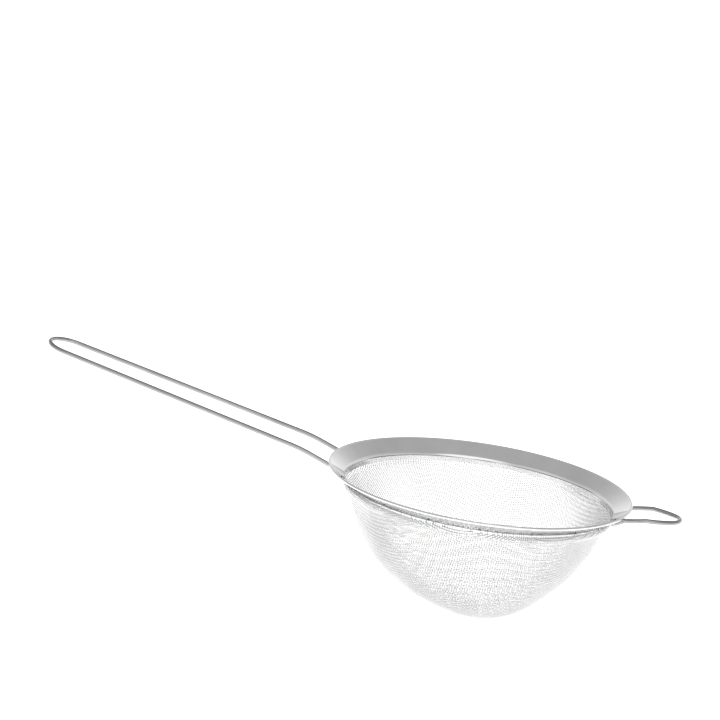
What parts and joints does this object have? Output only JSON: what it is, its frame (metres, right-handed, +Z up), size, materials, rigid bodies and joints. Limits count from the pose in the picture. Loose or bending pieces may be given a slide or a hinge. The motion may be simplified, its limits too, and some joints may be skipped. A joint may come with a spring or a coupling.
{
  "type": "tea strainer",
  "caption": "Round wire-mesh strainer: hemmed funnel rim with a collar, deep woven bowl, long looped wire handle and a short wire rest ear opposite.",
  "frame": {"origin": "on the bowl's axis, at mid height of the mesh band round the collar that drops into a vessel's mouth", "axes": "+Z up along the bowl's axis towards the rim, handle along -X, rest ear along +X, both halves alike about the XZ plane"},
  "size_m": [0.2175, 0.1, 0.0655],
  "materials": {
    "rim": "polished stainless steel",
    "mesh": "bright woven stainless wire",
    "wire": "polished stainless wire",
    "weld": "dull resistance-weld steel"
  },
  "bodies": {
    "root": {"rim_flange": "rim", "mesh_bowl": "mesh", "mesh_welds": "weld", "handle_loop": "wire", "handle_welds": "weld", "ear_loop": "wire", "ear_welds": "weld"}
  },
  "joints": []
}
